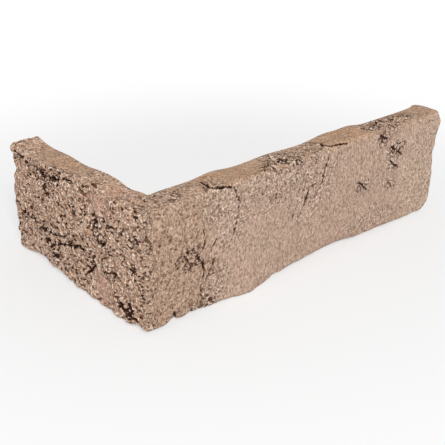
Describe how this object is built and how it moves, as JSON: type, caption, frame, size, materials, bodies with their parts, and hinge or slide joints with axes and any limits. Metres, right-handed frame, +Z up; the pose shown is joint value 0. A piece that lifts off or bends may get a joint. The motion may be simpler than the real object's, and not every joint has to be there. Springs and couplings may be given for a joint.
{
  "type": "corner brick slip",
  "caption": "L-shaped corner slip of thin brick with rough, worn outer faces, flat cut backs and a flat lower bed, for facing an outside wall corner.",
  "frame": {"origin": "on the floor under the middle of the slip's plan outline, in the plane of the lower bed", "axes": "+X along the long leg away from the outer corner, +Y along the short leg away from the outer corner, +Z up from the lower bed to the upper bed; the outer faces look along -X and -Y"},
  "size_m": [0.2102, 0.1128, 0.0618],
  "materials": {
    "corner_slip": "rough fired clay, dusty and pitted, with smoother orange-tan beds"
  },
  "bodies": {
    "root": {"corner_slip": "corner_slip"}
  },
  "joints": []
}
